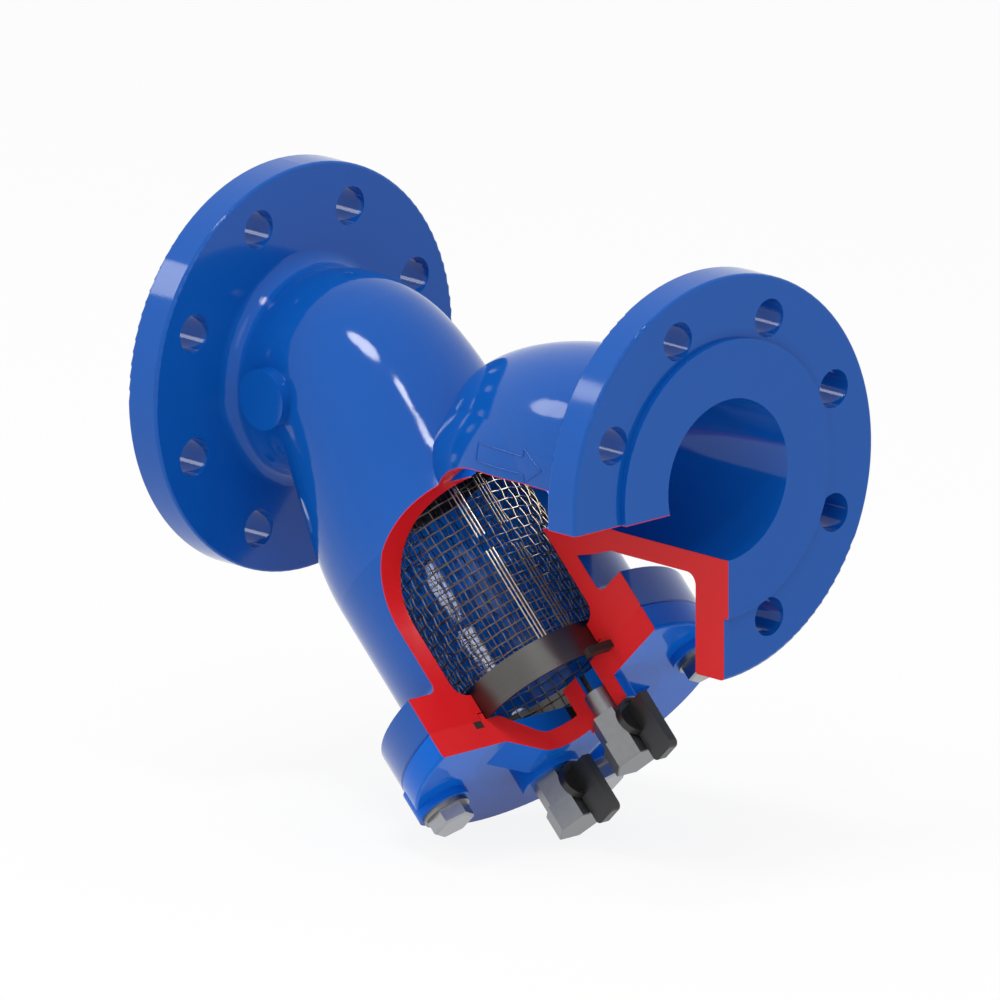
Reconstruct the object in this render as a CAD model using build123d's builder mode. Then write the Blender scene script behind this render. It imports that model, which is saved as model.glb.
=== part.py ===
from build123d import *
from math import cos, radians, sin
import os

os.makedirs("parts", exist_ok=True)

# Flanged Y strainer, nominal bore 80, shown sectioned so that the basket can be seen.
# The frame has its origin at the centre of the inlet raised face, +X along the flow, +Z up.

# Pipe line and line flanges
face_to_face = 310.0
bore_radius = 40.0
flange_radius = 100.0
flange_thickness = 19.0
raised_face_radius = 69.0
raised_face_height = 3.0
line_bolt_circle_radius = 80.0
line_bolt_hole_radius = 9.5
line_bolt_count = 8
cast_edge_round = 1.6
cut_clearance = 1.0

# Inlet neck, elbow and blind boss
neck_radius = 50.0
neck_fillet = 8.0
bend_radius = 51.5
shoulder_radius = 56.5
shoulder_station = 46.0
bend_bore_radius = 41.5
blind_boss_radius = 14.8
blind_boss_face = 57.0
blind_boss_x = 50.0
blind_boss_root = 30.0

# Branch that holds the basket, measured along its own axis from the pipe axis
branch_x = 59.0
branch_angle = 45.0
barrel_radius = 64.3
barrel_start = 96.0
barrel_fillet = 5.0
branch_flange_radius = 83.5
branch_flange_thickness = 20.0
parting_station = 187.5
parting_notch = 0.7

# Chamber inside the branch
guide_radius = 45.0
guide_start = 42.0
guide_end = 64.0
chamber_radius = 54.0
chamber_taper_end = 118.0
chamber_end = 173.2
chamber_round = 8.0
seat_bore_radius = 45.6
register_radius = 48.7
register_depth = 4.1
passage_wall = 10.5

# Outlet barrel and the port between chamber and outlet
outlet_radius = 50.5
outlet_dome_length = 107.0
outlet_dome_centre = 240.0
outlet_fillet = 6.0
port_angle = 18.0
port_length = 80.0
port_end_radius = 30.0
port_start = 226.0
port_shell_radius = 49.3
port_shell_straight = 20.0
port_shell_dome = 90.0

# Removed section: a wedge with a large round corner, ending at the middle plane
section_height = 10.0
section_corner_radius = 49.0
section_edge_round = 15.0
section_reach = 420.0
section_depth = 150.0

# Cover, its bowl, bosses and joint
cover_thickness = 13.8
spigot_length = 3.5
spigot_gap = 0.3
spigot_inner_radius = 45.6
bowl_half_width = 9.7
bowl_top_half_length = 36.5
bowl_floor_half_length = 17.0
bowl_depth = 14.3
bowl_floor_round = 13.0
bulge_half_width = 20.0
bulge_root_half_length = 41.0
bulge_top_half_length = 20.0
bulge_height = 10.2
bulge_round = 13.0
boss_radius = 16.0
boss_height = 12.7
boss_root = 2.0
port_bore_radius = 7.0
gasket_inner_radius = 49.1
gasket_width = 5.1
gasket_thickness = 3.9
gasket_side_gap = 0.15
gasket_stub_angle = 15.5

# Cover bolts and washers
cover_bolt_circle_radius = 71.0
cover_bolt_angle = 45.0
cover_bolt_radius = 6.0
cover_bolt_hole_radius = 6.75
tapped_hole_radius = 6.1
tapped_hole_depth = 17.0
cover_bolt_engagement = 15.0
bolt_pad_radius = 14.0
bolt_pad_height = 3.8
bolt_pad_root = 12.0
washer_radius = 12.0
washer_hole_radius = 6.5
washer_thickness = 2.5
bolt_head_flats = 19.0
bolt_head_height = 7.5
hex_chamfer = 1.0

# Basket
wire_size = 0.7
wire_gap = 0.01
mesh_outer_radius = 43.9
mesh_start = 50.0
mesh_end = 178.0
mesh_hoop_count = 12
mesh_stay_count = 24
basket_ring_thickness = 1.3
lower_ring_length = 17.0
upper_ring_start = 43.0
upper_ring_length = 14.0
upper_ring_thickness = 0.8
seam_angle = 30.0
seam_width = 6.0
seam_thickness = 0.5

# Mini ball valves, the same twice, along the branch axis
valve_offset = 27.5
nipple_radius = 6.6
nipple_length = 13.0
body_hex_flats = 19.0
body_hex_length = 14.0
cap_hex_flats = 22.0
cap_hex_length = 13.5
cap_wall = 3.5
valve_way_radius = 3.2
ball_radius = 5.1
ball_way_radius = 2.8
ball_flat = 4.4
ball_centre = 10.0
seat_reach = 4.0
cavity_radius = 6.2
seat_length = 2.0
stem_radius = 2.0
stem_hole_radius = 2.1
stem_tip = 14.6
gland_radius = 3.8
gland_height = 1.9
handle_base_radius = 9.5
handle_base_thickness = 4.0
handle_base_gap = 2.3
handle_rim = 1.5
handle_recess = 1.2
fin_before_stem = 5.7
fin_after_stem = 25.5
fin_thickness = 5.0
fin_top = 27.4
fin_corner_round = 3.0
fin_lift = 0.6

# Places worked out from the sizes above
branch_origin = Vector(branch_x, 0, 0)
branch_dir = Vector(cos(radians(branch_angle)), 0, -sin(radians(branch_angle)))
across_dir = Vector(sin(radians(branch_angle)), 0, cos(radians(branch_angle)))
side_dir = Vector(0, -1, 0)
branch_axis = Axis(branch_origin, branch_dir)
branch = Plane(origin=branch_origin, x_dir=across_dir, z_dir=branch_dir)
branch_profile = Plane(origin=branch_origin, x_dir=branch_dir, z_dir=side_dir)
bowl_profile = Plane(origin=branch_origin, x_dir=branch_dir, z_dir=across_dir)
half_bend = radians(branch_angle / 2)
bend_dir = Vector(cos(half_bend), 0, -sin(half_bend))
bend = Plane(origin=branch_origin, x_dir=(0, 1, 0), z_dir=bend_dir)
inlet_back = raised_face_height + flange_thickness
outlet_front = face_to_face - raised_face_height
outlet_back = outlet_front - flange_thickness
flange_back_station = parting_station - branch_flange_thickness
cover_face = parting_station + cover_thickness
boss_face = cover_face + boss_height
pad_face = cover_face + bolt_pad_height
mesh_inner_radius = mesh_outer_radius - wire_size
cover_bolt_turn = (cover_bolt_angle + 90, cover_bolt_angle + 180, cover_bolt_angle + 270)


def branch_section(station):
    # Plane square to the branch axis, with its sketch X across the body for even lofts
    return Plane(origin=branch_origin + branch_dir * station, x_dir=(0, 1, 0), z_dir=branch_dir)


def bolt_place(turn):
    # Place of a cover bolt on the bolt circle
    return (cover_bolt_circle_radius * cos(radians(turn)), cover_bolt_circle_radius * sin(radians(turn)))


# Removed section
with BuildPart() as cutaway:
    with BuildSketch(Plane.XZ):
        with BuildLine():
            corner_x = branch_x + section_height
            Polyline(
                (corner_x, -section_height),
                (section_reach, -section_height),
                (section_reach, branch_x - section_reach),
                (corner_x, -section_height),
                close=True,
            )
        make_face()
        fillet(vertices().sort_by(Axis.X)[0], section_corner_radius)
    extrude(amount=section_depth)
    inner_edges = edges().filter_by(Plane.XZ).group_by(Axis.Y)[-1]
    fillet(inner_edges.sort_by(Axis.X)[:-1], section_edge_round)

# Body casting
with BuildPart() as body_casting:
    # Inlet flange with its raised face and hub
    with BuildSketch(Plane.XZ):
        with BuildLine():
            Polyline(
                (inlet_back + neck_fillet, neck_radius),
                (inlet_back + neck_fillet, 0),
                (0, 0),
                (0, raised_face_radius),
                (raised_face_height, raised_face_radius),
                (raised_face_height, flange_radius),
                (inlet_back, flange_radius),
                (inlet_back, neck_radius + neck_fillet),
            )
            CenterArc((inlet_back + neck_fillet, neck_radius + neck_fillet), neck_fillet, 180, 90)
        make_face()
        fillet(vertices().group_by(Axis.Y)[-1], cast_edge_round)
    revolve(axis=Axis.X)
    # Outlet barrel, dome and flange
    with BuildSketch(Plane.XZ):
        with BuildLine():
            dome_centre = (outlet_dome_centre, 0)
            EllipticalCenterArc(dome_centre, outlet_dome_length, outlet_radius, 90, arc_size=90)
            Line((outlet_dome_centre, outlet_radius), (outlet_back - outlet_fillet, outlet_radius))
            CenterArc(
                (outlet_back - outlet_fillet, outlet_radius + outlet_fillet), outlet_fillet, 270, 90
            )
            Polyline(
                (outlet_back, outlet_radius + outlet_fillet),
                (outlet_back, flange_radius),
                (outlet_front, flange_radius),
                (outlet_front, raised_face_radius),
                (face_to_face, raised_face_radius),
                (face_to_face, 0),
                (outlet_dome_centre - outlet_dome_length, 0),
            )
        make_face()
        fillet(vertices().group_by(Axis.Y)[-1], cast_edge_round)
    revolve(axis=Axis.X)
    # Lower shell of the port, where the outlet barrel turns down into the branch
    port_origin = Vector(port_start, 0, 0)
    port_dir = Vector(-cos(radians(port_angle)), 0, -sin(radians(port_angle)))
    with BuildSketch(Plane(origin=port_origin, x_dir=port_dir, z_dir=side_dir)):
        with BuildLine():
            EllipticalCenterArc(
                (port_shell_straight, 0), port_shell_dome, port_shell_radius, 0, arc_size=90
            )
            Polyline(
                (port_shell_straight, port_shell_radius),
                (0, port_shell_radius),
                (0, 0),
                (port_shell_straight + port_shell_dome, 0),
            )
        make_face()
    revolve(axis=Axis(port_origin, port_dir))
    # Elbow from the inlet neck into the branch
    with BuildSketch(Plane.YZ.offset(inlet_back + neck_fillet)):
        Circle(neck_radius)
    with BuildSketch(bend):
        Circle(bend_radius)
    with BuildSketch(branch_section(shoulder_station)):
        Circle(shoulder_radius)
    with BuildSketch(branch_section(barrel_start)):
        Circle(barrel_radius)
    loft()
    # Branch barrel and its flange
    with BuildSketch(branch_profile):
        with BuildLine():
            Line((barrel_start, barrel_radius), (flange_back_station - barrel_fillet, barrel_radius))
            CenterArc(
                (flange_back_station - barrel_fillet, barrel_radius + barrel_fillet), barrel_fillet, 270, 90
            )
            Polyline(
                (flange_back_station, barrel_radius + barrel_fillet),
                (flange_back_station, branch_flange_radius),
                (parting_station - parting_notch, branch_flange_radius),
                (parting_station, branch_flange_radius - parting_notch),
                (parting_station, 0),
                (barrel_start, 0),
                (barrel_start, barrel_radius),
            )
        make_face()
    revolve(axis=branch_axis)
    # Blind boss on the side of the neck
    with BuildSketch(Plane.XZ.offset(blind_boss_root)):
        with Locations((blind_boss_x, 0)):
            Circle(blind_boss_radius)
    extrude(amount=blind_boss_face - blind_boss_root)
    # Inlet passage
    with BuildSketch(Plane.YZ.offset(-cut_clearance)):
        Circle(bore_radius)
    extrude(amount=inlet_back + neck_fillet + cut_clearance, mode=Mode.SUBTRACT)
    with BuildSketch(Plane.YZ.offset(inlet_back + neck_fillet)):
        Circle(bore_radius)
    with BuildSketch(bend):
        Circle(bend_bore_radius)
    with BuildSketch(branch_section(guide_start)):
        Circle(guide_radius)
    loft(mode=Mode.SUBTRACT)
    # Guide bore, chamber, seat bore and register
    with BuildSketch(branch_profile):
        with BuildLine():
            Polyline(
                (guide_start, 0),
                (guide_start, guide_radius),
                (guide_end, guide_radius),
                (chamber_taper_end, chamber_radius),
                (chamber_end, chamber_radius),
                (chamber_end, seat_bore_radius),
                (parting_station - register_depth, seat_bore_radius),
                (parting_station - register_depth, register_radius),
                (parting_station + cut_clearance, register_radius),
                (parting_station + cut_clearance, 0),
                close=True,
            )
        make_face()
        chamber_corners = vertices().group_by(Axis.Y)[-1]
        fillet(chamber_corners, chamber_round)
    revolve(axis=branch_axis, mode=Mode.SUBTRACT)
    # Outlet passage and the port from the chamber
    with BuildSketch(Plane.XZ):
        with BuildLine():
            passage_length = outlet_dome_length - passage_wall
            EllipticalCenterArc(dome_centre, passage_length, bore_radius, 90, arc_size=90)
            Polyline(
                (outlet_dome_centre, bore_radius),
                (face_to_face + cut_clearance, bore_radius),
                (face_to_face + cut_clearance, 0),
                (outlet_dome_centre - outlet_dome_length + passage_wall, 0),
            )
        make_face()
    revolve(axis=Axis.X, mode=Mode.SUBTRACT)
    with BuildSketch(Plane(origin=port_origin, x_dir=(0, 1, 0), z_dir=port_dir)):
        Circle(bore_radius)
    port_end = port_origin + port_dir * port_length
    with BuildSketch(Plane(origin=port_end, x_dir=(0, 1, 0), z_dir=port_dir)):
        Circle(port_end_radius)
    loft(mode=Mode.SUBTRACT)
    # Line flange bolt holes
    for plate_start in (0, outlet_back):
        with BuildSketch(Plane.YZ.offset(plate_start - cut_clearance)):
            with PolarLocations(line_bolt_circle_radius, line_bolt_count, 180 / line_bolt_count):
                Circle(line_bolt_hole_radius)
        extrude(amount=inlet_back + 2 * cut_clearance, mode=Mode.SUBTRACT)
    # Tapped holes for the cover bolts
    with BuildSketch(branch.offset(parting_station)):
        with Locations(*[bolt_place(turn) for turn in cover_bolt_turn]):
            Circle(tapped_hole_radius)
    extrude(amount=-tapped_hole_depth, mode=Mode.SUBTRACT)
    add(cutaway.part, mode=Mode.SUBTRACT)
body_casting.part.label = "body_casting"
export_step(body_casting.part, "parts/body_casting.step")

# Cover casting
with BuildPart() as cover_casting:
    with BuildSketch(branch_profile):
        with BuildLine():
            Polyline(
                (parting_station, 0),
                (parting_station, spigot_inner_radius),
                (parting_station - spigot_length, spigot_inner_radius),
                (parting_station - spigot_length, register_radius - spigot_gap),
                (parting_station, register_radius - spigot_gap),
                (parting_station, branch_flange_radius - parting_notch),
                (parting_station + parting_notch, branch_flange_radius),
                (cover_face, branch_flange_radius),
                (cover_face, 0),
                close=True,
            )
        make_face()
        fillet(vertices().sort_by(Axis.X).group_by(Axis.Y)[-1].sort_by(Axis.X)[-1], cast_edge_round)
    revolve(axis=branch_axis)
    # Pads under the bolts
    with BuildSketch(branch.offset(cover_face - bolt_pad_root)):
        with Locations(*[bolt_place(turn) for turn in cover_bolt_turn]):
            Circle(bolt_pad_radius)
    extrude(amount=bolt_pad_root + bolt_pad_height)
    # Bulge over the bowl
    with BuildSketch(bowl_profile):
        with BuildLine():
            Polyline(
                (cover_face - boss_root, bulge_root_half_length),
                (cover_face, bulge_root_half_length),
                (cover_face + bulge_height, bulge_top_half_length),
                (cover_face + bulge_height, -bulge_top_half_length),
                (cover_face, -bulge_root_half_length),
                (cover_face - boss_root, -bulge_root_half_length),
                close=True,
            )
        make_face()
        fillet(vertices().group_by(Axis.X)[-1], bulge_round)
    extrude(amount=bulge_half_width, both=True)
    # Bosses that carry the two valves
    with BuildSketch(branch.offset(cover_face - boss_root)):
        with Locations((valve_offset, 0), (-valve_offset, 0)):
            Circle(boss_radius)
    extrude(amount=boss_height + boss_root)
    # Bowl inside the cover
    with BuildSketch(bowl_profile):
        with BuildLine():
            Polyline(
                (parting_station - cut_clearance, bowl_top_half_length),
                (parting_station, bowl_top_half_length),
                (parting_station + bowl_depth, bowl_floor_half_length),
                (parting_station + bowl_depth, -bowl_floor_half_length),
                (parting_station, -bowl_top_half_length),
                (parting_station - cut_clearance, -bowl_top_half_length),
                close=True,
            )
        make_face()
        fillet(vertices().group_by(Axis.X)[-1], bowl_floor_round)
    extrude(amount=bowl_half_width, both=True, mode=Mode.SUBTRACT)
    # Threaded ports for the valves and clearance holes for the bolts
    with BuildSketch(branch.offset(boss_face + cut_clearance)):
        with Locations((valve_offset, 0), (-valve_offset, 0)):
            Circle(port_bore_radius)
    extrude(amount=-(boss_height + cover_thickness + 2 * cut_clearance), mode=Mode.SUBTRACT)
    with BuildSketch(branch.offset(pad_face + cut_clearance)):
        with Locations(*[bolt_place(turn) for turn in cover_bolt_turn]):
            Circle(cover_bolt_hole_radius)
    extrude(amount=-(bolt_pad_height + cover_thickness + 2 * cut_clearance), mode=Mode.SUBTRACT)
    # Groove for the gasket
    with BuildSketch(branch.offset(parting_station)):
        Circle(gasket_inner_radius + gasket_width + gasket_side_gap)
        Circle(gasket_inner_radius - gasket_side_gap, mode=Mode.SUBTRACT)
    extrude(amount=gasket_thickness, mode=Mode.SUBTRACT)
    add(cutaway.part, mode=Mode.SUBTRACT)
cover_casting.part.label = "cover_casting"
export_step(cover_casting.part, "parts/cover_casting.step")

# Gasket of square section, cut away a little short of the casting
with BuildPart() as cover_gasket:
    with BuildSketch(branch.offset(parting_station)):
        Circle(gasket_inner_radius + gasket_width)
        Circle(gasket_inner_radius, mode=Mode.SUBTRACT)
        with BuildLine():
            Polyline(
                (0, 0),
                (
                    section_depth * cos(radians(gasket_stub_angle)),
                    section_depth * sin(radians(gasket_stub_angle)),
                ),
                (section_depth, section_depth),
                (0, section_depth),
                close=True,
            )
        make_face(mode=Mode.SUBTRACT)
    extrude(amount=gasket_thickness)
cover_gasket.part.label = "cover_gasket"
export_step(cover_gasket.part, "parts/cover_gasket.step")

# Cover bolts, three of the four, because the fourth was in the removed section
with BuildPart() as cover_bolts:
    with BuildSketch(branch.offset(pad_face + washer_thickness)):
        with Locations(*[bolt_place(turn) for turn in cover_bolt_turn]):
            RegularPolygon(bolt_head_flats / 2, 6, major_radius=False)
    extrude(amount=bolt_head_height)
    head_edges = faces().group_by(Axis(branch_origin, branch_dir))[-1].edges()
    chamfer(head_edges, hex_chamfer)
    with BuildSketch(branch.offset(pad_face + washer_thickness)):
        with Locations(*[bolt_place(turn) for turn in cover_bolt_turn]):
            Circle(cover_bolt_radius)
    shank_length = washer_thickness + bolt_pad_height + cover_thickness + cover_bolt_engagement
    extrude(amount=-shank_length)
cover_bolts.part.label = "cover_bolts"
export_step(cover_bolts.part, "parts/cover_bolts.step")

# Washers under the cover bolts
with BuildPart() as bolt_washers:
    with BuildSketch(branch.offset(pad_face)):
        with Locations(*[bolt_place(turn) for turn in cover_bolt_turn]):
            Circle(washer_radius)
            Circle(washer_hole_radius, mode=Mode.SUBTRACT)
    extrude(amount=washer_thickness)
bolt_washers.part.label = "bolt_washers"
export_step(bolt_washers.part, "parts/bolt_washers.step")

# Basket wire cloth as hoops and stays, coarser than the real weave
with BuildPart() as basket_hoops:
    hoop_pitch = (mesh_end - mesh_start - wire_size) / (mesh_hoop_count - 1)
    for hoop in range(mesh_hoop_count):
        with BuildSketch(branch.offset(mesh_start + hoop * hoop_pitch)):
            Circle(mesh_outer_radius)
            Circle(mesh_inner_radius, mode=Mode.SUBTRACT)
        extrude(amount=wire_size)
basket_hoops.part.label = "basket_hoops"
export_step(basket_hoops.part, "parts/basket_hoops.step")

# Wires along the basket, just inside the hoops
with BuildPart() as basket_stays:
    with BuildSketch(branch.offset(mesh_start)):
        with PolarLocations(mesh_inner_radius - wire_gap - wire_size / 2, mesh_stay_count):
            Rectangle(wire_size, wire_size)
    extrude(amount=mesh_end - mesh_start)
basket_stays.part.label = "basket_stays"
export_step(basket_stays.part, "parts/basket_stays.step")

# Rings that stiffen the two ends of the basket
with BuildPart() as basket_lower_ring:
    with BuildSketch(branch.offset(parting_station)):
        Circle(mesh_outer_radius + basket_ring_thickness)
        Circle(mesh_outer_radius, mode=Mode.SUBTRACT)
    extrude(amount=-lower_ring_length)
basket_lower_ring.part.label = "basket_lower_ring"
export_step(basket_lower_ring.part, "parts/basket_lower_ring.step")

with BuildPart() as basket_upper_ring:
    with BuildSketch(branch.offset(upper_ring_start)):
        Circle(mesh_outer_radius + upper_ring_thickness)
        Circle(mesh_outer_radius, mode=Mode.SUBTRACT)
    extrude(amount=upper_ring_length)
basket_upper_ring.part.label = "basket_upper_ring"
export_step(basket_upper_ring.part, "parts/basket_upper_ring.step")

# Strip that closes the seam of the rolled wire cloth
with BuildPart() as basket_seam_strip:
    strip_start = upper_ring_start + upper_ring_length
    strip_end = parting_station - lower_ring_length
    with BuildSketch(branch.offset(strip_start)):
        with PolarLocations(mesh_outer_radius + seam_thickness / 2, 1, seam_angle):
            Rectangle(seam_thickness, seam_width)
    extrude(amount=strip_end - strip_start)
basket_seam_strip.part.label = "basket_seam_strip"
export_step(basket_seam_strip.part, "parts/basket_seam_strip.step")

# Two mini ball valves on the cover
for side, offset_sign in (("upper", 1), ("lower", -1)):
    valve_origin = branch_origin + across_dir * (offset_sign * valve_offset)
    valve_axis_plane = Plane(origin=valve_origin, x_dir=across_dir, z_dir=branch_dir)
    stem_station = boss_face + ball_centre
    stem_origin = valve_origin + branch_dir * stem_station
    stem_plane = Plane(origin=stem_origin, x_dir=branch_dir, z_dir=across_dir)
    fin_plane = Plane(origin=stem_origin, x_dir=branch_dir, z_dir=side_dir)
    cap_start = boss_face + body_hex_length
    first_seat = stem_station - seat_reach - seat_length
    second_seat = stem_station + seat_reach
    flat_height = body_hex_flats / 2
    base_height = flat_height + handle_base_gap

    # Nipple and body in one piece
    with BuildPart() as valve_body:
        with BuildSketch(valve_axis_plane.offset(boss_face)):
            Circle(nipple_radius)
        extrude(amount=-nipple_length)
        with BuildSketch(valve_axis_plane.offset(boss_face)):
            RegularPolygon(body_hex_flats / 2, 6, major_radius=False, rotation=30)
        extrude(amount=body_hex_length)
        with BuildSketch(valve_axis_plane.offset(boss_face - nipple_length)):
            Circle(valve_way_radius)
        extrude(amount=nipple_length + body_hex_length, mode=Mode.SUBTRACT)
        with BuildSketch(valve_axis_plane.offset(cap_start)):
            Circle(cavity_radius)
        extrude(amount=first_seat - cap_start, mode=Mode.SUBTRACT)
        with BuildSketch(stem_plane):
            Circle(stem_hole_radius)
        extrude(amount=body_hex_flats, mode=Mode.SUBTRACT)
    valve_body.part.label = side + "_valve_body"
    export_step(valve_body.part, "parts/" + side + "_valve_body.step")

    # Blanking cap that closes the valve
    with BuildPart() as valve_cap:
        with BuildSketch(valve_axis_plane.offset(cap_start)):
            RegularPolygon(cap_hex_flats / 2, 6, major_radius=False, rotation=30)
        extrude(amount=cap_hex_length)
        cap_end_edges = faces().sort_by(Axis(valve_origin, branch_dir))[-1].edges()
        chamfer(cap_end_edges, hex_chamfer / 2)
        with BuildSketch(valve_axis_plane.offset(cap_start)):
            Circle(valve_way_radius)
        extrude(amount=cap_hex_length - cap_wall, mode=Mode.SUBTRACT)
        with BuildSketch(valve_axis_plane.offset(cap_start)):
            Circle(cavity_radius)
        extrude(amount=second_seat + seat_length - cap_start, mode=Mode.SUBTRACT)
    valve_cap.part.label = side + "_valve_cap"
    export_step(valve_cap.part, "parts/" + side + "_valve_cap.step")

    # Two seat rings, one each side of the ball
    with BuildPart() as valve_seats:
        for seat_start in (first_seat, second_seat):
            with BuildSketch(valve_axis_plane.offset(seat_start)):
                Circle(cavity_radius)
                Circle(valve_way_radius, mode=Mode.SUBTRACT)
            extrude(amount=seat_length)
    valve_seats.part.label = side + "_valve_seats"
    export_step(valve_seats.part, "parts/" + side + "_valve_seats.step")

    # Ball with its way along the valve when open
    with BuildPart() as valve_ball:
        with BuildSketch(fin_plane):
            with BuildLine():
                CenterArc((0, 0), ball_radius, 0, 180)
                Line((-ball_radius, 0), (ball_radius, 0))
            make_face()
        revolve(axis=Axis(stem_origin, branch_dir))
        with BuildSketch(valve_axis_plane.offset(stem_station - ball_radius)):
            Circle(ball_way_radius)
        extrude(amount=2 * ball_radius, mode=Mode.SUBTRACT)
        with BuildSketch(stem_plane.offset(ball_flat)):
            Circle(ball_radius)
        extrude(amount=ball_radius, mode=Mode.SUBTRACT)
    valve_ball.part.label = side + "_valve_ball"
    export_step(valve_ball.part, "parts/" + side + "_valve_ball.step")

    # Stem from the flat on the ball up into the handle
    with BuildPart() as valve_stem:
        with BuildSketch(stem_plane.offset(ball_flat)):
            Circle(stem_radius)
        extrude(amount=stem_tip - ball_flat)
    valve_stem.part.label = side + "_valve_stem"
    export_step(valve_stem.part, "parts/" + side + "_valve_stem.step")

    # Gland ring round the stem
    with BuildPart() as valve_gland:
        with BuildSketch(stem_plane.offset(flat_height)):
            Circle(gland_radius)
            Circle(stem_hole_radius, mode=Mode.SUBTRACT)
        extrude(amount=gland_height)
    valve_gland.part.label = side + "_valve_gland"
    export_step(valve_gland.part, "parts/" + side + "_valve_gland.step")

    # Wing handle: a round base with a dished face and an upright fin
    with BuildPart() as valve_handle:
        with BuildSketch(stem_plane.offset(base_height)):
            Circle(handle_base_radius)
        extrude(amount=handle_base_thickness)
        with BuildSketch(stem_plane.offset(base_height + handle_base_thickness - handle_recess)):
            Circle(handle_base_radius - handle_rim)
        extrude(amount=handle_recess, mode=Mode.SUBTRACT)
        with BuildSketch(fin_plane):
            with BuildLine():
                Polyline(
                    (-fin_before_stem, base_height + fin_lift),
                    (fin_after_stem, base_height + fin_lift),
                    (fin_after_stem, fin_top),
                    (-fin_before_stem, fin_top),
                    close=True,
                )
            make_face()
            fillet(vertices().sort_by(Axis.X)[-2:], fin_corner_round)
        extrude(amount=fin_thickness / 2, both=True)
        with BuildSketch(stem_plane.offset(base_height)):
            Circle(stem_radius)
        extrude(amount=stem_tip - base_height, mode=Mode.SUBTRACT)
    valve_handle.part.label = side + "_valve_handle"
    export_step(valve_handle.part, "parts/" + side + "_valve_handle.step")
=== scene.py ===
import math

import bpy
from mathutils import Matrix, Vector


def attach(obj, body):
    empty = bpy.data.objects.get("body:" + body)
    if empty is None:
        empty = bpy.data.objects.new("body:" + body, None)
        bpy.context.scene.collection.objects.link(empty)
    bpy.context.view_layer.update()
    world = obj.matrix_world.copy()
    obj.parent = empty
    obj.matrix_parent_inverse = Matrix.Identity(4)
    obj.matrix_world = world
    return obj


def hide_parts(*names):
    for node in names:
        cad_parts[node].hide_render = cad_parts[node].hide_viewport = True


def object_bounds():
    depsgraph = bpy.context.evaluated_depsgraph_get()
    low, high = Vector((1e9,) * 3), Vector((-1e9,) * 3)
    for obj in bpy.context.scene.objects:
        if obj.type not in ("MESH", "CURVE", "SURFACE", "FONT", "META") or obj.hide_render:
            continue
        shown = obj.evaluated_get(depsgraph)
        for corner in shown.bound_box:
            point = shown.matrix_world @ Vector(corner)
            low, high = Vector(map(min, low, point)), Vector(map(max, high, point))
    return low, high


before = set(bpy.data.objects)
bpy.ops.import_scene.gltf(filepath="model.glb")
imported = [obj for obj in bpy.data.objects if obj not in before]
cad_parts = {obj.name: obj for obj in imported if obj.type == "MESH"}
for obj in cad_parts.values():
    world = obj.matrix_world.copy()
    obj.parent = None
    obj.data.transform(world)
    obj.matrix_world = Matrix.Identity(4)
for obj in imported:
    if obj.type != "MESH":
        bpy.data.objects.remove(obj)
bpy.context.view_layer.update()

# Sizes of the casting that the finishes follow, in millimetres
MM = 0.001
ROOT2 = math.sqrt(2.0)
BRANCH_X = 59.0
SECTION_TOP = -10.0
SECTION_CORNER = 49.0
SECTION_ROUND = 15.0
PAINT_EDGE = 0.35
# Reach of the painted light near the branch axis: within 51 mm of the axis and more than 20 mm along it
PAINTED_LIGHT_RADIUS = 51.0
PAINTED_LIGHT_START = 20.0
GUIDE_BORE = 45.0
GUIDE_REACH = 0.7
GUIDE_START = 41.0
GUIDE_END = 64.5
SEAT_BORE = 45.6
SEAT_REACH = 0.5
SEAT_START = 172.5
REGISTER_OUTER = 49.1
REGISTER_MIDDLE = 185.5
REGISTER_HALF = 2.6
REGISTER_START = 183.3
SPIGOT_OUTER = 48.9
SPIGOT_INNER = 45.0
SPIGOT_END = 187.4
BOWL_WALL_OFF = 2.0
BOWL_WALL_HALF = 22.2
BOWL_WALL_START = 187.8
BOWL_WALL_END = 201.0
BOWL_WALL_OUTER = 40.0
BOWL_WALL_INNER = 17.0
BRANCH_DIR = Vector((1.0, 0.0, -1.0)) / ROOT2
ACROSS_DIR = Vector((1.0, 0.0, 1.0)) / ROOT2

# Wire cloth of the basket, in millimetres
CLOTH_RADIUS = 43.45
CLOTH_START = 44.0
CLOTH_END = 188.5
CLOTH_PITCH = 5.4
STAY_COUNT = 50
WIRE_RADIUS = 0.32
WIRE_SIDES = 5
STEPS_PER_CELL = 4.0
WEAVE_DEPTH = 0.42
SEAM_WIRE_RADIUS = 0.368
SEAM_WIRE_SIDES = 8
SEAM_WIRES = 3
SEAM_LENGTHS = 2
SEAM_CLEARANCE = 0.3
SEAM_ANGLE = 30.0
SEAM_SPACING = 1.9
SEAM_START = 57.0
SEAM_LENGTH = 54.0
SEAM_REPEAT = 62.0
SECOND_ANGLE = 12.0
SECOND_START = 60.0
SECOND_LENGTH = 50.0

# Flow arrow on the outlet, in millimetres
ARROW_TAIL = 187.0
ARROW_NECK = 221.0
ARROW_TIP = 234.0
ARROW_AXIS = -0.6
ARROW_SHAFT_HALF = 4.4
ARROW_HEAD_HALF = 8.6
ARROW_BEAD = 0.45
ARROW_BEAD_SIDES = 8
ARROW_STEPS = 160
ARROW_START_Y = -100.0
ARROW_REACH = 200.0

# Floor, in metres
FLOOR_SIZE = 12.0
FLOOR_GAP = 0.0005

# Camera fitted to the photograph, in metres and degrees
CAMERA_AZIMUTH = 45.41
CAMERA_ELEVATION = 15.32
CAMERA_SPAN = 0.4775
CAMERA_TARGET = Vector((0.16225, -0.00715, -0.03716))
CAMERA_DISTANCE = 2.0

# Place on the chamber's far wall that the chamber light faces, in metres
CHAMBER_WALL = Vector((0.1166, 0.0304, -0.1186))

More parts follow.
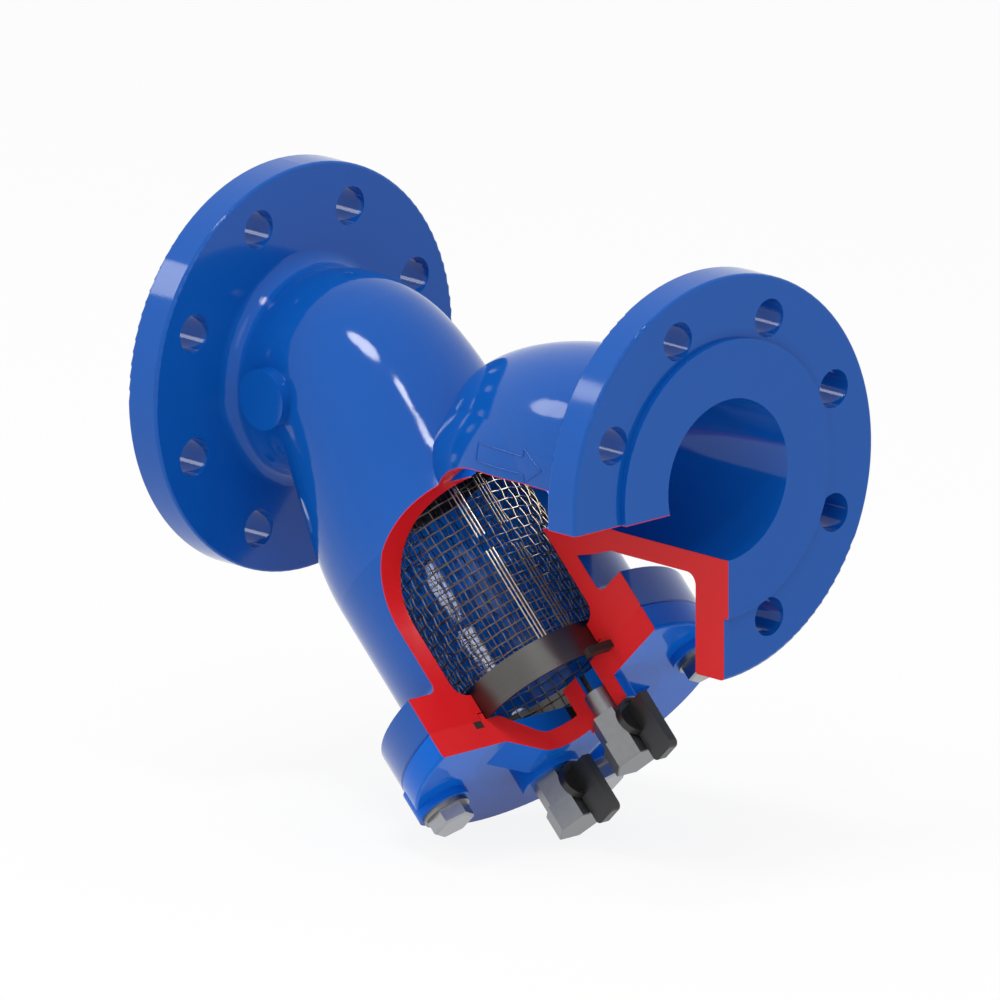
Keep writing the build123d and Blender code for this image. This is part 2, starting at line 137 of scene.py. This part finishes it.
# Shares of white in what the camera and reflections see
AMBIENT = 0.66
BACKDROP = 1.0
FLOOR_GLOW = 0.88

# Roughness of the coating, its red and its bare places
COAT_ROUGH = 0.06
COAT_CLOUD = 0.04
RED_ROUGH = 0.30
BARE_ROUGH = 0.26
BARE_TURNING = 0.16

# Colours, linear
BLUE = (0.003, 0.094, 0.43)
BLUE_SHADE = (0.003, 0.084, 0.395)
# Painted light: a lighter blue that stands in for light on the chamber's inside, where the lamps don't
# reach
PAINTED_LIGHT_BLUE = (0.006, 0.13, 0.58)
# Painted light: the cover's blues are lighter than the body's, and its reds a little paler. They stand
# in for light that the cover's downward face doesn't get.
COVER_PAINTED_LIGHT_BLUE = (0.005, 0.145, 0.66)
COVER_PAINTED_LIGHT_BLUE_DARKER = (0.004, 0.135, 0.62)
RED = (0.70, 0.010, 0.013)
RED_SHADE = (0.65, 0.009, 0.012)
COVER_PAINTED_LIGHT_RED = (0.71, 0.022, 0.026)
COVER_PAINTED_LIGHT_RED_DARKER = (0.66, 0.021, 0.025)
BARE = (0.05, 0.05, 0.053)
BARE_LIGHT = (0.13, 0.13, 0.135)


class Value:
    """A number in a node tree. Arithmetic on it adds Math nodes."""

    def __init__(self, tree, socket):
        self.tree = tree
        self.socket = socket

    def math(self, operation, *others):
        operands = (self,) + others
        node = add_node(self.tree, "ShaderNodeMath", {"operation": operation}, dict(enumerate(operands)))
        return Value(self.tree, node.outputs[0])

    def __add__(self, other):
        return self.math("ADD", other)

    def __radd__(self, other):
        return self.math("ADD", other)

    def __sub__(self, other):
        return self.math("SUBTRACT", other)

    def __rsub__(self, other):
        return (self * -1.0) + other

    def __mul__(self, other):
        return self.math("MULTIPLY", other)

    def __truediv__(self, other):
        return self.math("DIVIDE", other)

    def __abs__(self):
        return self.math("ABSOLUTE")

    def __gt__(self, other):
        return self.math("GREATER_THAN", other)

    def __lt__(self, other):
        return self.math("LESS_THAN", other)

    def lowest(self, other):
        return self.math("MINIMUM", other)

    def highest(self, other):
        return self.math("MAXIMUM", other)

    def root(self):
        return self.math("SQRT")


def plug(tree, socket, value):
    """Links the value to the socket, or writes it there."""
    if isinstance(value, Value):
        value = value.socket
    if isinstance(value, bpy.types.NodeSocket):
        tree.links.new(value, socket)
    elif socket.type == "RGBA":
        socket.default_value = (*value, 1.0)
    else:
        socket.default_value = value


def add_node(tree, kind, settings=None, inputs=None):
    """A node with its settings made first, then the values or links of its sockets."""
    node = tree.nodes.new(kind)
    for name, value in (settings or {}).items():
        setattr(node, name, value)
    for name, value in (inputs or {}).items():
        plug(tree, node.inputs[name], value)
    return node


class Finish:
    """A material on Object coordinates, built from one Principled shader."""

    def __init__(self, name, **sockets):
        self.material = bpy.data.materials.new(name)
        self.material.use_nodes = True
        self.tree = self.material.node_tree
        self.tree.nodes.clear()
        self.place = self.node("ShaderNodeTexCoord").outputs["Object"]
        self.shader = self.node("ShaderNodeBsdfPrincipled")
        self.node("ShaderNodeOutputMaterial", inputs={"Surface": self.shader.outputs[0]})
        self.set(**sockets)

    def node(self, kind, settings=None, inputs=None):
        return add_node(self.tree, kind, settings, inputs)

    def set(self, **sockets):
        for name, value in sockets.items():
            plug(self.tree, self.shader.inputs[name.replace("_", " ")], value)

    def axes(self):
        """Object place in millimetres, as three values."""
        parts = self.node("ShaderNodeSeparateXYZ", inputs={0: self.place})
        return [Value(self.tree, out) * (1.0 / MM) for out in parts.outputs]

    def noise(self, scale, detail=2.0, stretch=None):
        """Noise from 0 to 1. Stretch squeezes the pattern along the three axes."""
        place = self.place
        if stretch:
            place = self.node("ShaderNodeMapping", inputs={"Vector": place, "Scale": stretch}).outputs[0]
        sockets = {"Vector": place, "Scale": scale, "Detail": detail}
        return Value(self.tree, self.node("ShaderNodeTexNoise", inputs=sockets).outputs[0])

    def mix(self, factor, low, high):
        sockets = {0: factor, 6: low, 7: high}
        return self.node("ShaderNodeMix", {"data_type": "RGBA"}, sockets).outputs[2]

    def bump(self, height, strength, distance):
        sockets = {"Height": height, "Strength": strength, "Distance": distance}
        self.set(Normal=self.node("ShaderNodeBump", inputs=sockets).outputs[0])


def branch_axes(finish):
    """Distance along the branch, across it upwards, off its middle plane, and from its axis."""
    x, y, z = finish.axes()
    along = ((x - BRANCH_X) - z) / ROOT2
    across = ((x - BRANCH_X) + z) / ROOT2
    return along, across, y, (across * across + y * y).root()


def painted_section(finish):
    """1 on the faces of the removed section, 0 elsewhere."""
    x, y, z = finish.axes()
    centre_x = BRANCH_X + SECTION_CORNER - SECTION_TOP + SECTION_CORNER * ROOT2
    centre_z = SECTION_TOP - SECTION_CORNER
    off_x = x - centre_x
    off_z = z - centre_z
    in_corner = (off_x < 0.0) * ((off_x - off_z) < 0.0)
    corner_gap = SECTION_CORNER - (off_x * off_x + off_z * off_z).root()
    straight_gap = (((x - BRANCH_X) + z) / ROOT2).lowest(SECTION_TOP - z)
    gap = in_corner * corner_gap + (1.0 - in_corner) * straight_gap
    depth_part = (SECTION_ROUND + y).highest(0.0)
    gap_part = (SECTION_ROUND - gap).highest(0.0)
    from_round = (depth_part * depth_part + gap_part * gap_part).root()
    return abs(from_round - SECTION_ROUND) < PAINT_EDGE


def near(value, target, reach):
    """1 where the value is within reach of the target, 0 elsewhere."""
    return abs(value - target) < reach


def coating(name, bare_places, gloss, blues, reds):
    """Smooth blue coating, with red section faces, bare machined bores and a blue of painted light near
    the branch axis.
    """
    finish = Finish(name, Specular_IOR_Level=gloss)
    along, across, off, radius = branch_axes(finish)
    red = painted_section(finish)
    bare = bare_places(along, across, off, radius) * (1.0 - red)
    cloud = finish.noise(scale=9.0, detail=3.0)
    fine = finish.noise(scale=900.0)
    turning = finish.noise(scale=60.0, stretch=(14.0, 1.0, 14.0))
    # Painted light: every blue surface within 51 mm of the branch axis and more than 20 mm along it
    # takes a blue of its own, meant to brighten the chamber's inside. It takes only the parts of the
    # chamber's inside that lie within 51 mm, and a few outside surfaces too. On the cover this blue is a
    # little darker than the cover's own.
    painted_light_zone = (radius < PAINTED_LIGHT_RADIUS) * (along > PAINTED_LIGHT_START)
    blue = finish.mix(painted_light_zone, finish.mix(cloud, *blues), PAINTED_LIGHT_BLUE)
    paint = finish.mix(red, blue, finish.mix(cloud, *reds))
    metal = finish.mix(turning, BARE, BARE_LIGHT)
    coated = 1.0 - bare
    coated_rough = COAT_ROUGH + cloud * COAT_CLOUD + red * RED_ROUGH
    finish.set(
        Base_Color=finish.mix(bare, paint, metal),
        Metallic=bare,
        Roughness=coated * coated_rough + bare * (BARE_ROUGH + turning * BARE_TURNING),
    )
    height = fine * coated * 0.35 + cloud * 0.4 + turning * bare
    finish.bump(height, strength=0.05, distance=0.0004)
    return finish.material


def body_bare(along, across, off, radius):
    """Guide bore, seat bore and register of the body."""
    guide = near(radius, GUIDE_BORE, GUIDE_REACH) * (along > GUIDE_START) * (along < GUIDE_END)
    seat = near(radius, SEAT_BORE, SEAT_REACH) * (along > SEAT_START)
    register = near(along, REGISTER_MIDDLE, REGISTER_HALF) * (along > REGISTER_START)
    return guide.highest(seat).highest(register * (radius < REGISTER_OUTER))


def cover_bare(along, across, off, radius):
    """Spigot of the cover and the wall inside its bowl."""
    spigot = (radius < SPIGOT_OUTER) * (radius > SPIGOT_INNER) * (along < SPIGOT_END)
    wall = (off > BOWL_WALL_OFF) * (abs(across) < BOWL_WALL_HALF)
    wall = wall * (along > BOWL_WALL_START) * (along < BOWL_WALL_END)
    return spigot.highest(wall * (radius < BOWL_WALL_OUTER) * (radius > BOWL_WALL_INNER))


def rubber_finish(name, dark, light):
    finish = Finish(name, Specular_IOR_Level=0.35)
    grain = finish.noise(scale=1400.0, detail=3.0)
    cloud = finish.noise(scale=60.0, detail=3.0)
    finish.set(Base_Color=finish.mix(cloud, dark, light), Roughness=0.34 + cloud * 0.2)
    finish.bump(grain, strength=0.2, distance=0.0002)
    return finish.material


def steel_finish(name, dark, light, rough, grain_scale):
    """Plain metal with fine grain, from dark to light."""
    finish = Finish(name, Metallic=1.0)
    grain = finish.noise(scale=grain_scale, detail=3.0)
    cloud = finish.noise(scale=45.0)
    finish.set(Base_Color=finish.mix(grain * 0.6 + cloud * 0.4, dark, light))
    finish.set(Roughness=rough + grain * 0.12 + cloud * 0.06)
    finish.bump(grain, strength=0.06, distance=0.0003)
    return finish.material


def ring_finish(name, dark, light):
    """Rolled stainless strip, brushed round the branch axis, its colours darkened as painted shade."""
    finish = Finish(name, Metallic=1.0)
    along = branch_axes(finish)[0]
    sockets = {"W": along, "Scale": 3.0, "Detail": 3.0}
    brushed = finish.node("ShaderNodeTexNoise", {"noise_dimensions": "1D"}, sockets)
    lines = Value(finish.tree, brushed.outputs[0])
    cloud = finish.noise(scale=30.0)
    finish.set(Base_Color=finish.mix(lines * 0.6 + cloud * 0.4, dark, light))
    finish.set(Roughness=0.24 + lines * 0.16)
    finish.bump(lines, strength=0.12, distance=0.0002)
    return finish.material


def plastic_finish(name, dark, light, rough, grain_scale, grain_strength):
    finish = Finish(name, Specular_IOR_Level=0.5)
    grain = finish.noise(scale=grain_scale, detail=3.0)
    cloud = finish.noise(scale=80.0)
    finish.set(Base_Color=finish.mix(cloud, dark, light), Roughness=rough + cloud * 0.1)
    finish.bump(grain, strength=grain_strength, distance=0.0002)
    return finish.material


blue_casting = coating("blue_casting", body_bare, 0.26, (BLUE_SHADE, BLUE), (RED_SHADE, RED))
# The cover's coating uses the lighter, painted-light blues and reds
blue_cover = coating(
    "blue_cover", cover_bare, 0.06, (COVER_PAINTED_LIGHT_BLUE_DARKER, COVER_PAINTED_LIGHT_BLUE), (COVER_PAINTED_LIGHT_RED_DARKER, COVER_PAINTED_LIGHT_RED)
)
black_rubber = rubber_finish("black_rubber", (0.012, 0.010, 0.009), (0.045, 0.038, 0.033))
bolt_steel = steel_finish("bolt_steel", (0.30, 0.31, 0.33), (0.44, 0.45, 0.47), 0.24, 500.0)
washer_steel = steel_finish("washer_steel", (0.20, 0.19, 0.18), (0.36, 0.35, 0.34), 0.28, 500.0)
wire_steel = steel_finish("wire_steel", (0.10, 0.082, 0.055), (0.24, 0.20, 0.15), 0.24, 700.0)
seam_steel = steel_finish("seam_steel", (0.55, 0.52, 0.44), (0.80, 0.77, 0.68), 0.20, 600.0)
# Painted shade: the rings' colours are far darker than stainless steel, standing in for the dark
# reflections on the rings
ring_painted_shade_steel = ring_finish("ring_painted_shade_steel", (0.06, 0.059, 0.057), (0.16, 0.157, 0.152))
plated_brass = steel_finish("plated_brass", (0.20, 0.205, 0.215), (0.30, 0.305, 0.315), 0.30, 380.0)
seat_white = plastic_finish("seat_white", (0.70, 0.70, 0.68), (0.82, 0.82, 0.80), 0.42, 900.0, 0.08)
ball_chrome = steel_finish("ball_chrome", (0.62, 0.62, 0.63), (0.72, 0.72, 0.73), 0.06, 300.0)
stem_steel = steel_finish("stem_steel", (0.40, 0.40, 0.41), (0.56, 0.56, 0.57), 0.24, 420.0)
handle_black = plastic_finish(
    "handle_black", (0.010, 0.010, 0.010), (0.020, 0.020, 0.021), 0.24, 1100.0, 0.10
)

NODE_FINISH = {
    "body_casting": blue_casting,
    "cover_casting": blue_cover,
    "cover_gasket": black_rubber,
    "cover_bolts": bolt_steel,
    "bolt_washers": washer_steel,
    "basket_hoops": wire_steel,
    "basket_stays": wire_steel,
    "basket_lower_ring": ring_painted_shade_steel,
    "basket_upper_ring": ring_painted_shade_steel,
    "basket_seam_strip": seam_steel,
}
VALVE_FINISH = {
    "valve_body": plated_brass,
    "valve_cap": plated_brass,
    "valve_seats": seat_white,
    "valve_ball": ball_chrome,
    "valve_stem": stem_steel,
    "valve_gland": plated_brass,
    "valve_handle": handle_black,
}
for side in ("upper", "lower"):
    for piece, finish in VALVE_FINISH.items():
        NODE_FINISH[side + "_" + piece] = finish
for name, finish in NODE_FINISH.items():
    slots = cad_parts[name].data.materials
    if len(slots) == 0:
        slots.append(finish)
    for index in range(len(slots)):
        slots[index] = finish


def new_tree(name, sizes, others=()):
    """A Geometry Nodes tree with named inputs, numbers last, and a geometry output."""
    tree = bpy.data.node_groups.new(name, "GeometryNodeTree")
    tree.interface.new_socket("Geometry", in_out="OUTPUT", socket_type="NodeSocketGeometry")
    for label, kind in others:
        tree.interface.new_socket(label, in_out="INPUT", socket_type=kind)
    for label in sizes:
        tree.interface.new_socket(label, in_out="INPUT", socket_type="NodeSocketFloat")
    source = add_node(tree, "NodeGroupInput")
    values = {label: Value(tree, source.outputs[label]) for label in sizes}
    values.update({label: source.outputs[label] for label, kind in others})
    return tree, values


def vector(tree, x=0.0, y=0.0, z=0.0):
    return add_node(tree, "ShaderNodeCombineXYZ", inputs={0: x, 1: y, 2: z}).outputs[0]


def row(tree, count, offset, start=(0.0, 0.0, 0.0)):
    """Points in a straight row."""
    sockets = {"Count": count, "Start Location": start, "Offset": offset}
    return add_node(tree, "GeometryNodeMeshLine", inputs=sockets).outputs[0]


def circle(tree, resolution, radius):
    sockets = {"Resolution": resolution, "Radius": radius}
    return add_node(tree, "GeometryNodeCurvePrimitiveCircle", inputs=sockets).outputs[0]


def copies(tree, points, item):
    """The item at each point, as real geometry."""
    placed = add_node(tree, "GeometryNodeInstanceOnPoints", inputs={"Points": points, "Instance": item})
    return add_node(tree, "GeometryNodeRealizeInstances", inputs={0: placed.outputs[0]}).outputs[0]


def end_as_tubes(tree, curve, sides, radius, material, caps=True):
    """Round wire along the curve. Realize Instances and Set Material close the tree."""
    sockets = {"Curve": curve, "Profile Curve": circle(tree, sides, radius), "Fill Caps": caps}
    tubes = add_node(tree, "GeometryNodeCurveToMesh", inputs=sockets)
    smooth = add_node(tree, "GeometryNodeSetShadeSmooth", inputs={0: tubes.outputs[0]})
    real = add_node(tree, "GeometryNodeRealizeInstances", inputs={0: smooth.outputs[0]})
    sockets = {0: real.outputs[0], "Material": material}
    finished = add_node(tree, "GeometryNodeSetMaterial", inputs=sockets)
    add_node(tree, "NodeGroupOutput", inputs={0: finished.outputs[0]})


def bake_tree(name, tree, inputs, place=None, start=None):
    """A plain mesh object made from the tree, with its place in its mesh."""
    holder = bpy.data.objects.new(name + "_tree", start or bpy.data.meshes.new(name + "_start"))
    bpy.context.scene.collection.objects.link(holder)
    modifier = holder.modifiers.new("nodes", "NODES")
    modifier.node_group = tree
    for item in tree.interface.items_tree:
        if item.in_out == "INPUT" and item.name in inputs:
            modifier[item.identifier] = inputs[item.name]
    evaluated = holder.evaluated_get(bpy.context.evaluated_depsgraph_get())
    mesh = bpy.data.meshes.new_from_object(evaluated)
    mesh.name = name
    holder.modifiers.remove(modifier)
    bpy.data.objects.remove(holder)
    if place:
        mesh.transform(place)
    result = bpy.data.objects.new(name, mesh)
    bpy.context.scene.collection.objects.link(result)
    return result


def woven(tree, wires, sign, sizes):
    """Bends plain wires over and under each other, each the way its neighbour doesn't."""
    place = add_node(tree, "GeometryNodeInputPosition").outputs[0]
    parts = add_node(tree, "ShaderNodeSeparateXYZ", inputs={0: place})
    x, y, z = [Value(tree, out) for out in parts.outputs]
    turn = y.math("ARCTAN2", x)
    phase = ((z - sizes["Start"]) / sizes["Pitch"] * math.pi).math("COSINE")
    ripple = (turn * sizes["Stays"] * 0.5).math("COSINE")
    lift = phase * ripple * sizes["Weave depth"] * sign
    outwards = vector(tree, x=x, y=y)
    unit = add_node(tree, "ShaderNodeVectorMath", {"operation": "NORMALIZE"}, {0: outwards}).outputs[0]
    sockets = {0: unit, "Scale": lift}
    shift = add_node(tree, "ShaderNodeVectorMath", {"operation": "SCALE"}, sockets).outputs[0]
    sockets = {"Geometry": wires, "Offset": shift}
    return add_node(tree, "GeometryNodeSetPosition", inputs=sockets).outputs[0]


def wire_cloth_tree():
    """Hoops and stays of a plain weave, round the Z axis."""
    labels = ("Radius", "Start", "Length", "Pitch", "Stays", "Hoops", "Wire radius", "Weave depth")
    tree, sizes = new_tree("wire_cloth", labels)
    start = vector(tree, z=sizes["Start"])
    places = row(tree, sizes["Hoops"], vector(tree, z=sizes["Pitch"]), start)
    hoops = copies(tree, places, circle(tree, sizes["Stays"] * STEPS_PER_CELL, sizes["Radius"]))
    top = vector(tree, z=sizes["Start"] + sizes["Length"])
    line = add_node(tree, "GeometryNodeCurvePrimitiveLine", inputs={"Start": start, "End": top})
    step_count = (sizes["Hoops"] - 1.0) * STEPS_PER_CELL + 1.0
    sockets = {"Curve": line.outputs[0], "Count": step_count}
    stay = add_node(tree, "GeometryNodeResampleCurve", inputs=sockets)
    sockets = {"Curve": circle(tree, sizes["Stays"], sizes["Radius"])}
    ring = add_node(tree, "GeometryNodeCurveToPoints", {"mode": "EVALUATED"}, sockets)
    stays = copies(tree, ring.outputs[0], stay.outputs[0])
    joined = add_node(tree, "GeometryNodeJoinGeometry")
    tree.links.new(woven(tree, hoops, 1.0, sizes), joined.inputs[0])
    tree.links.new(woven(tree, stays, -1.0, sizes), joined.inputs[0])
    end_as_tubes(tree, joined.outputs[0], WIRE_SIDES, sizes["Wire radius"], wire_steel)
    return tree


def seam_tree(name, material):
    """Three straight selvedge wires side by side, in two lengths one after the other."""
    tree, sizes = new_tree(name, ("Radius", "Start", "Length", "Repeat", "Spacing", "Wire radius"))
    first = vector(tree, x=sizes["Radius"], y=sizes["Spacing"] * -1.0, z=sizes["Start"])
    places = row(tree, SEAM_WIRES, vector(tree, y=sizes["Spacing"]), first)
    end = vector(tree, z=sizes["Length"])
    line = add_node(tree, "GeometryNodeCurvePrimitiveLine", inputs={"End": end})
    wires = copies(tree, places, line.outputs[0])
    wires = copies(tree, row(tree, SEAM_LENGTHS, vector(tree, z=sizes["Repeat"])), wires)
    end_as_tubes(tree, wires, SEAM_WIRE_SIDES, sizes["Wire radius"], material)
    return tree


def branch_place(turn_degrees=0.0):
    """Matrix whose Z runs down the branch and X across it, upwards, with a turn about Z."""
    side = BRANCH_DIR.cross(ACROSS_DIR)
    axes = Matrix((ACROSS_DIR, side, BRANCH_DIR)).transposed().to_4x4()
    turn = Matrix.Rotation(math.radians(turn_degrees), 4, "Z")
    return Matrix.Translation((BRANCH_X * MM, 0.0, 0.0)) @ axes @ turn


hoop_count = int((CLOTH_END - CLOTH_START) / CLOTH_PITCH) + 1
cloth_sizes = {
    "Radius": CLOTH_RADIUS * MM,
    "Start": CLOTH_START * MM,
    "Length": (hoop_count - 1) * CLOTH_PITCH * MM,
    "Pitch": CLOTH_PITCH * MM,
    "Stays": float(STAY_COUNT),
    "Hoops": float(hoop_count),
    "Wire radius": WIRE_RADIUS * MM,
    "Weave depth": WEAVE_DEPTH * MM,
}
wire_cloth = bake_tree("basket_wire_cloth", wire_cloth_tree(), cloth_sizes, branch_place())
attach(wire_cloth, "strainer")
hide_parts("basket_hoops", "basket_stays")

seam_sizes = {
    "Radius": (CLOTH_RADIUS + WEAVE_DEPTH + SEAM_CLEARANCE) * MM,
    "Start": SEAM_START * MM,
    "Length": SEAM_LENGTH * MM,
    "Repeat": SEAM_REPEAT * MM,
    "Spacing": SEAM_SPACING * MM,
    "Wire radius": SEAM_WIRE_RADIUS * MM,
}
first_tree = seam_tree("seam_wires", seam_steel)
seam_wires = bake_tree("basket_seam_wires", first_tree, seam_sizes, branch_place(SEAM_ANGLE))
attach(seam_wires, "strainer")
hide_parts("basket_seam_strip")

second_sizes = dict(seam_sizes)
second_sizes["Start"] = SECOND_START * MM
second_sizes["Length"] = SECOND_LENGTH * MM
second_tree = seam_tree("second_wires", wire_steel)
second_wires = bake_tree("basket_second_wires", second_tree, second_sizes, branch_place(SECOND_ANGLE))
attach(second_wires, "strainer")


def arrow_tree():
    """Bead along the arrow's outline, laid on the barrel along Y."""
    others = (("Outline", "NodeSocketGeometry"), ("Barrel", "NodeSocketObject"))
    tree, values = new_tree("flow_arrow", ("Bead",), others)
    barrel = add_node(tree, "GeometryNodeObjectInfo", inputs={"Object": values["Barrel"]})
    curve = add_node(tree, "GeometryNodeMeshToCurve", inputs={0: values["Outline"]})
    sockets = {"Curve": curve.outputs[0], "Count": ARROW_STEPS}
    even = add_node(tree, "GeometryNodeResampleCurve", inputs=sockets)
    sockets = {
        "Target Geometry": barrel.outputs["Geometry"],
        "Ray Direction": (0.0, 1.0, 0.0),
        "Ray Length": ARROW_REACH * MM,
    }
    hit = add_node(tree, "GeometryNodeRaycast", inputs=sockets)
    sockets = {"Geometry": even.outputs[0], "Position": hit.outputs["Hit Position"]}
    laid = add_node(tree, "GeometryNodeSetPosition", inputs=sockets)
    end_as_tubes(tree, laid.outputs[0], ARROW_BEAD_SIDES, values["Bead"], blue_casting, caps=False)
    return tree


def arrow_outline():
    """Closed outline of the flow arrow, in front of the barrel."""
    corners = [
        (ARROW_TAIL, ARROW_SHAFT_HALF),
        (ARROW_NECK, ARROW_SHAFT_HALF),
        (ARROW_NECK, ARROW_HEAD_HALF),
        (ARROW_TIP, 0.0),
        (ARROW_NECK, -ARROW_HEAD_HALF),
        (ARROW_NECK, -ARROW_SHAFT_HALF),
        (ARROW_TAIL, -ARROW_SHAFT_HALF),
    ]
    outline = bpy.data.meshes.new("flow_arrow_outline")
    points = [(x * MM, ARROW_START_Y * MM, (z + ARROW_AXIS) * MM) for x, z in corners]
    edges = [(index, (index + 1) % len(points)) for index in range(len(points))]
    outline.from_pydata(points, edges, [])
    return outline


arrow_inputs = {"Barrel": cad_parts["body_casting"], "Bead": ARROW_BEAD * MM}
flow_arrow = bake_tree("flow_arrow", arrow_tree(), arrow_inputs, start=arrow_outline())
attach(flow_arrow, "strainer")



def seen_rays(tree):
    """1 for rays of the camera, of reflections and through glass, 0 for light."""
    path = add_node(tree, "ShaderNodeLightPath")
    seen = Value(tree, path.outputs["Is Camera Ray"])
    seen = seen.highest(Value(tree, path.outputs["Is Glossy Ray"]))
    return seen.highest(Value(tree, path.outputs["Is Transmission Ray"]))


def blend_out(tree, kind, factor, first, second):
    """Output node of that kind with the blend of two shaders."""
    sockets = {0: factor, 1: first.outputs[0], 2: second.outputs[0]}
    blended = add_node(tree, "ShaderNodeMixShader", inputs=sockets)
    add_node(tree, kind, inputs={"Surface": blended.outputs[0]})


# Floor, plain and pale
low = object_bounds()[0]
bpy.ops.mesh.primitive_plane_add(size=FLOOR_SIZE, location=(0.0, 0.0, low[2] - FLOOR_GAP))
floor = bpy.context.object
floor.name = "floor"
floor_finish = bpy.data.materials.new("pale_floor")
floor_finish.use_nodes = True
tree = floor_finish.node_tree
tree.nodes.clear()
sockets = {"Base Color": (0.92, 0.92, 0.92), "Roughness": 0.9, "Specular IOR Level": 0.0}
matt = add_node(tree, "ShaderNodeBsdfPrincipled", inputs=sockets)
glow = add_node(tree, "ShaderNodeEmission", inputs={"Color": (1.0, 1.0, 1.0), "Strength": BACKDROP})
blend_out(tree, "ShaderNodeOutputMaterial", seen_rays(tree) * FLOOR_GLOW, matt, glow)
floor.data.materials.append(floor_finish)

# Studio light
scene = bpy.context.scene
world = bpy.data.worlds.new("studio")
scene.world = world
world.use_nodes = True
tree = world.node_tree
tree.nodes.clear()
white = {"Color": (1.0, 1.0, 1.0)}
ambient = add_node(tree, "ShaderNodeBackground", inputs={**white, "Strength": AMBIENT})
backdrop = add_node(tree, "ShaderNodeBackground", inputs={**white, "Strength": BACKDROP})
blend_out(tree, "ShaderNodeOutputWorld", seen_rays(tree), ambient, backdrop)


def soft_box(name, direction, distance, width, height, power, target=CAMERA_TARGET):
    """Elliptical area light that faces the target from that direction."""
    lamp = bpy.data.lights.new(name, "AREA")
    lamp.shape = "ELLIPSE"
    lamp.size = width
    lamp.size_y = height
    lamp.energy = power
    holder = bpy.data.objects.new(name, lamp)
    towards = Vector(direction).normalized()
    holder.location = target + towards * distance
    holder.rotation_euler = towards.to_track_quat("Z", "Y").to_euler()
    scene.collection.objects.link(holder)
    return holder


azimuth = math.radians(CAMERA_AZIMUTH)
elevation = math.radians(CAMERA_ELEVATION)
to_camera = Vector(
    (
        math.sin(azimuth) * math.cos(elevation),
        -math.cos(azimuth) * math.cos(elevation),
        math.sin(elevation),
    )
)
soft_box("overhead_light", (0.05, -0.30, 0.95), distance=2.2, width=0.70, height=0.34, power=15.0)
soft_box("round_light", (0.37, -0.24, 0.89), distance=2.2, width=0.22, height=0.22, power=3.6)
soft_box("left_light", (-0.69, -0.45, 0.52), distance=2.4, width=0.6, height=0.6, power=7.0)
soft_box("front_fill", (0.60, -0.60, 0.50), distance=2.6, width=1.3, height=1.3, power=5.0)
chamber_light = soft_box(
    "chamber_light",
    (0.45, -0.14, 0.88),
    distance=0.11,
    width=0.026,
    height=0.05,
    power=0.06,
    target=CHAMBER_WALL,
)
chamber_light.visible_camera = False

# Camera at the photograph's angle
lens = bpy.data.cameras.new("camera")
lens.type = "ORTHO"
lens.ortho_scale = CAMERA_SPAN
camera = bpy.data.objects.new("camera", lens)
camera.location = CAMERA_TARGET + to_camera * CAMERA_DISTANCE
camera.rotation_euler = to_camera.to_track_quat("Z", "Y").to_euler()
scene.collection.objects.link(camera)
scene.camera = camera
scene.view_settings.view_transform = "Standard"
